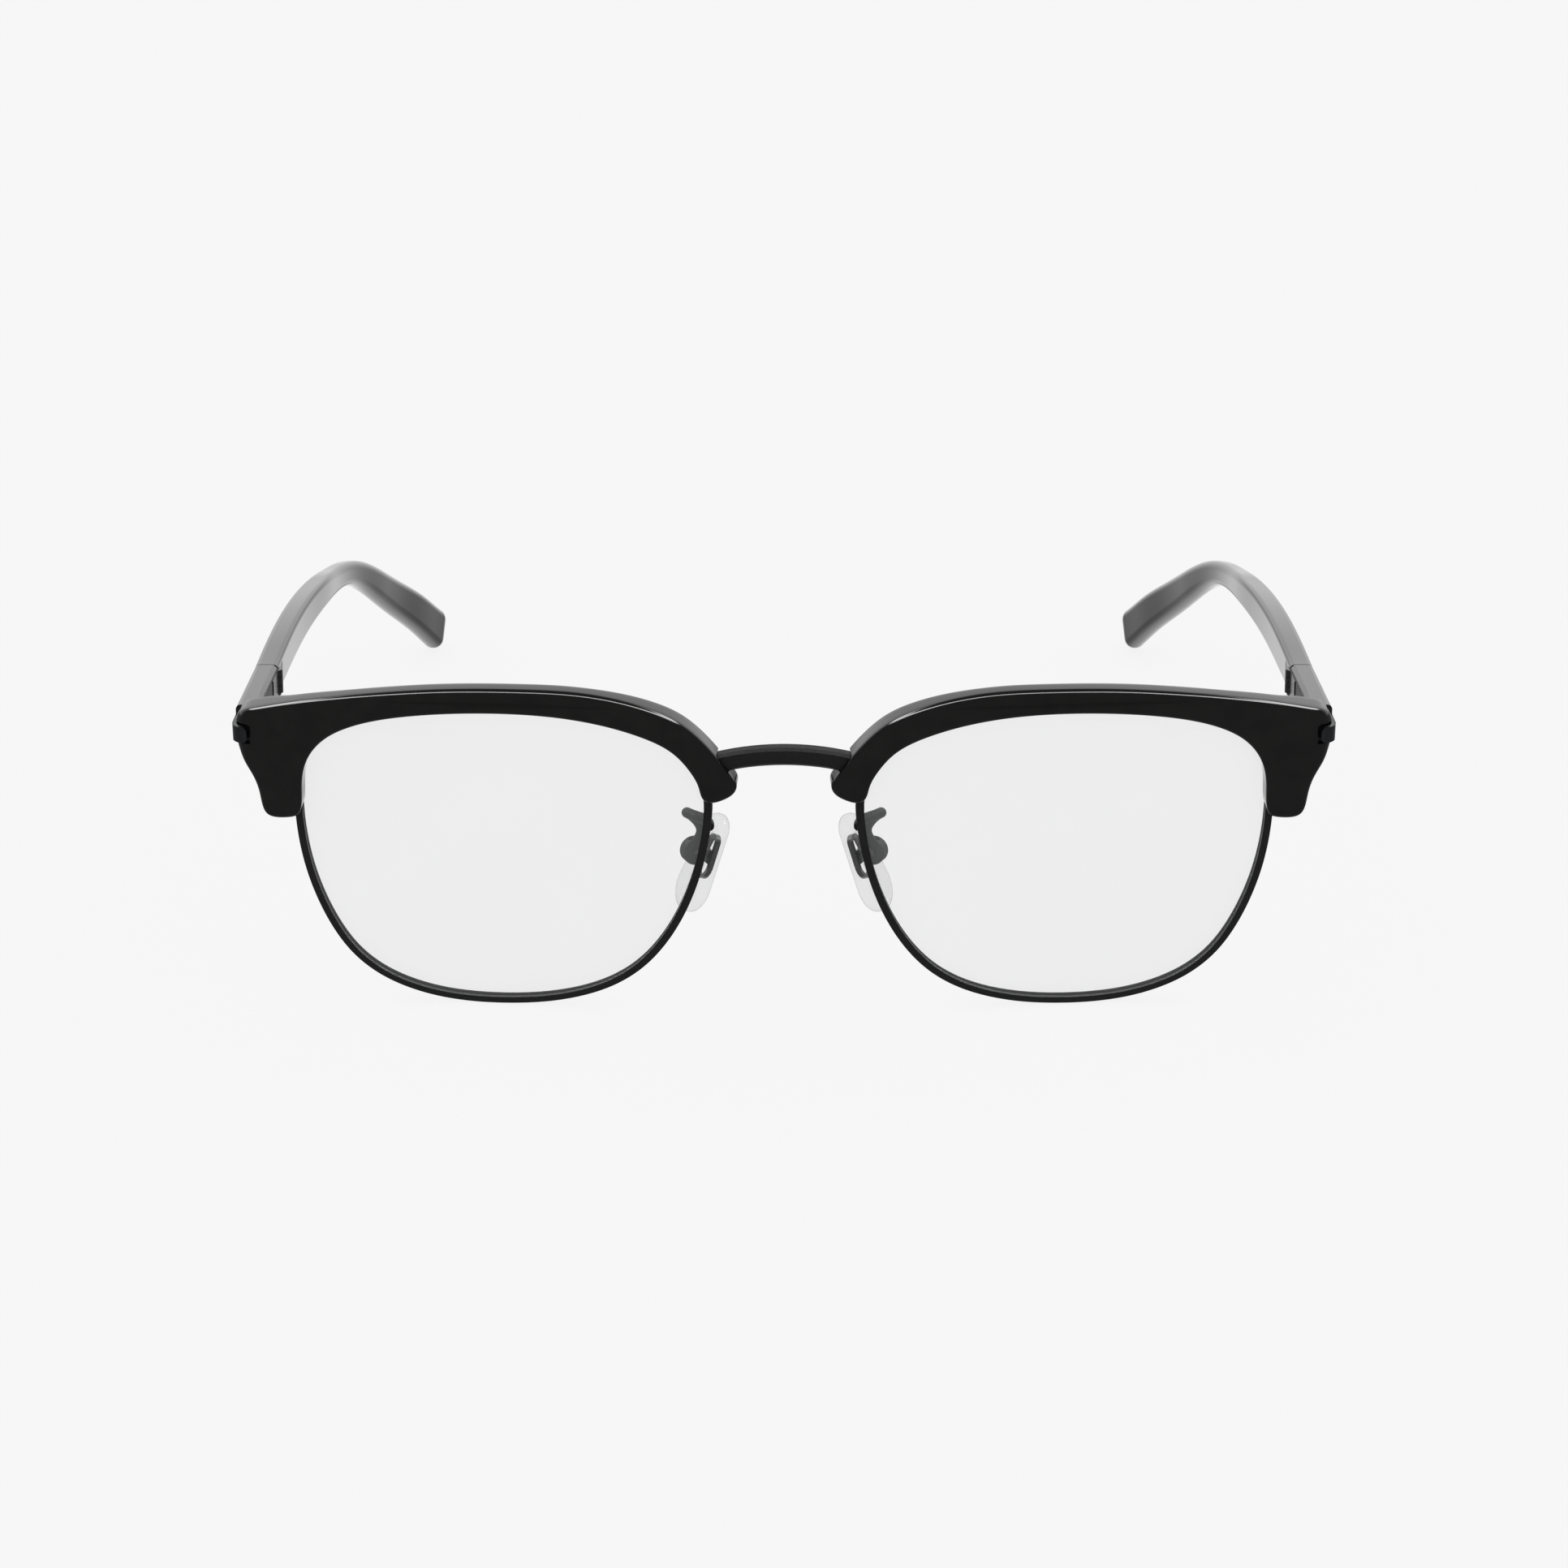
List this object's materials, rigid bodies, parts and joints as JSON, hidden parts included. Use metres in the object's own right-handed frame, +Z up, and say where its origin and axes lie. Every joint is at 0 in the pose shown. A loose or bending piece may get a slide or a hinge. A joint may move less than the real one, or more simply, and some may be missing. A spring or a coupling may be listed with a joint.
{
  "type": "eyeglasses",
  "caption": "Browline eyeglasses: black acetate brow bars over wire-rimmed clear lenses, metal bridge, silicone nose pads and folding temples.",
  "frame": {"origin": "middle of the whole open object's extent in X and Y, at the height of the surface that it stands on", "axes": "+X to the wearer's left, across the face; +Y back along the temples, towards the wearer's ears; +Z up"},
  "size_m": [0.1414, 0.1526, 0.0455],
  "materials": {
    "acetate_black": "polished black cellulose acetate",
    "eyewire_black": "satin black plated metal",
    "lens_clear": "clear, polished",
    "small_metal": "dark steel screws",
    "tab_gunmetal": "gunmetal",
    "core_steel": "wire core",
    "hinge_metal": "dark plated metal",
    "pad_silicone": "clear silicone",
    "insert_gunmetal": "gunmetal"
  },
  "bodies": {
    "front": {"bridge": "eyewire_black", "lens_right": "lens_clear", "lens_left": "lens_clear", "rim_right": "eyewire_black", "rim_left": "eyewire_black", "closing_block_upper_right": "eyewire_black", "closing_block_upper_left": "eyewire_black", "closing_block_lower_right": "eyewire_black", "closing_block_lower_left": "eyewire_black", "closing_screw_right": "small_metal", "closing_screw_left": "small_metal", "brow_right": "acetate_black", "brow_left": "acetate_black", "corner_tab_right": "tab_gunmetal", "corner_tab_left": "tab_gunmetal", "brow_screws_right": "small_metal", "brow_screws_left": "small_metal", "end_piece_right": "acetate_black", "end_piece_left": "acetate_black", "hinge_front_right": "hinge_metal", "hinge_front_left": "hinge_metal", "hinge_screw_right": "small_metal", "hinge_screw_left": "small_metal", "pad_arm_right": "eyewire_black", "pad_arm_left": "eyewire_black", "pad_screw_right": "small_metal", "pad_screw_left": "small_metal"},
    "temple_right_arm": {"temple_right": "acetate_black", "temple_core_right": "core_steel", "hinge_rear_right": "hinge_metal"},
    "pad_right": {"nose_pad_right": "pad_silicone", "pad_insert_right": "insert_gunmetal"},
    "temple_left_arm": {"temple_left": "acetate_black", "temple_core_left": "core_steel", "hinge_rear_left": "hinge_metal"},
    "pad_left": {"nose_pad_left": "pad_silicone", "pad_insert_left": "insert_gunmetal"}
  },
  "joints": [
    {"name": "temple_left_fold", "type": "hinge", "parent": "front", "child": "temple_left_arm", "pos_m": [0.06745, -0.04701, 0.03655], "axis": [0, 0.0523, 0.9986], "range_deg": [0, 90]},
    {"name": "temple_right_fold", "type": "hinge", "parent": "front", "child": "temple_right_arm", "pos_m": [-0.06745, -0.04701, 0.03655], "axis": [0, -0.0523, -0.9986], "range_deg": [0, 86]},
    {"name": "pad_left_rock", "type": "hinge", "parent": "front", "child": "pad_left", "pos_m": [0.01165, -0.06551, 0.0196], "axis": [0.4067, 0.9135, 0], "range_deg": [-8, 8]},
    {"name": "pad_right_rock", "type": "hinge", "parent": "front", "child": "pad_right", "pos_m": [-0.01165, -0.06551, 0.0196], "axis": [0.4067, -0.9135, 0], "range_deg": [-8, 8]}
  ]
}
